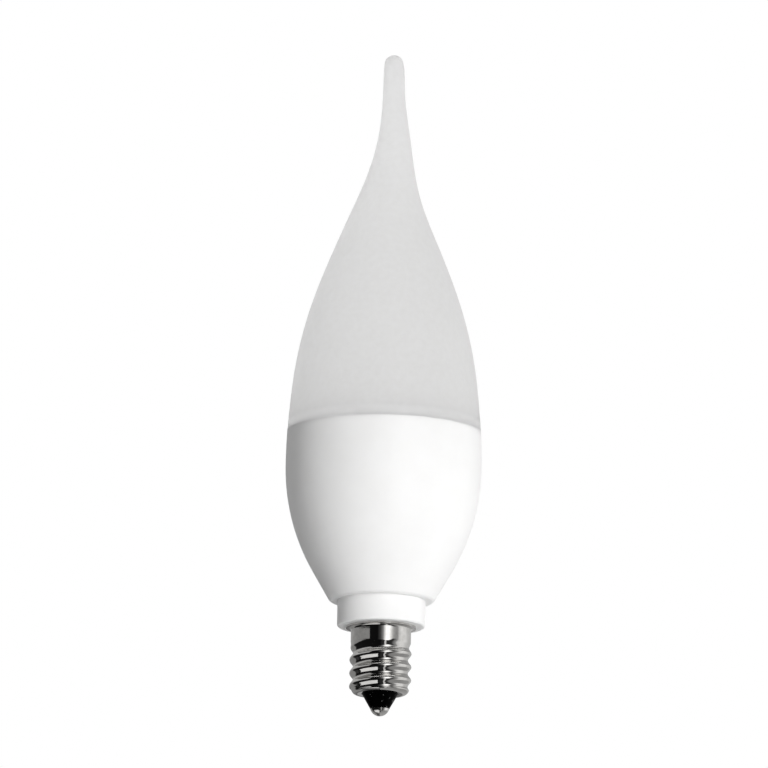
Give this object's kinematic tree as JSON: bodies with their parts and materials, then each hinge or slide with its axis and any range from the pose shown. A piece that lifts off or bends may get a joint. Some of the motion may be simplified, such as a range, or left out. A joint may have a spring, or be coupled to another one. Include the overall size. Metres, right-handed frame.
{
  "type": "candle bulb",
  "caption": "Flame-shaped LED candle bulb: opal diffuser drawn out to a thin bent tail, white housing stepped down to a collar, and a narrow rolled screw cap with a domed end contact.",
  "frame": {"origin": "lowest point of the domed centre contact, on the bulb's axis, where it meets the holder's own contact", "axes": "+Z along the bulb's axis from the screw cap towards the flame's tip; +X is the side that the thin tail bends to"},
  "size_m": [0.037, 0.037, 0.1272],
  "materials": {
    "opal_diffuser": "satin opal, light diffusing",
    "white_housing": "satin white moulding",
    "plated_shell": "bright nickel plate on rolled sheet",
    "black_insulator": "glossy black",
    "bright_contact": "bright plated metal"
  },
  "bodies": {
    "root": {"diffuser": "opal_diffuser", "housing": "white_housing", "screw_shell": "plated_shell", "insulator": "black_insulator", "centre_contact": "bright_contact"}
  },
  "joints": []
}
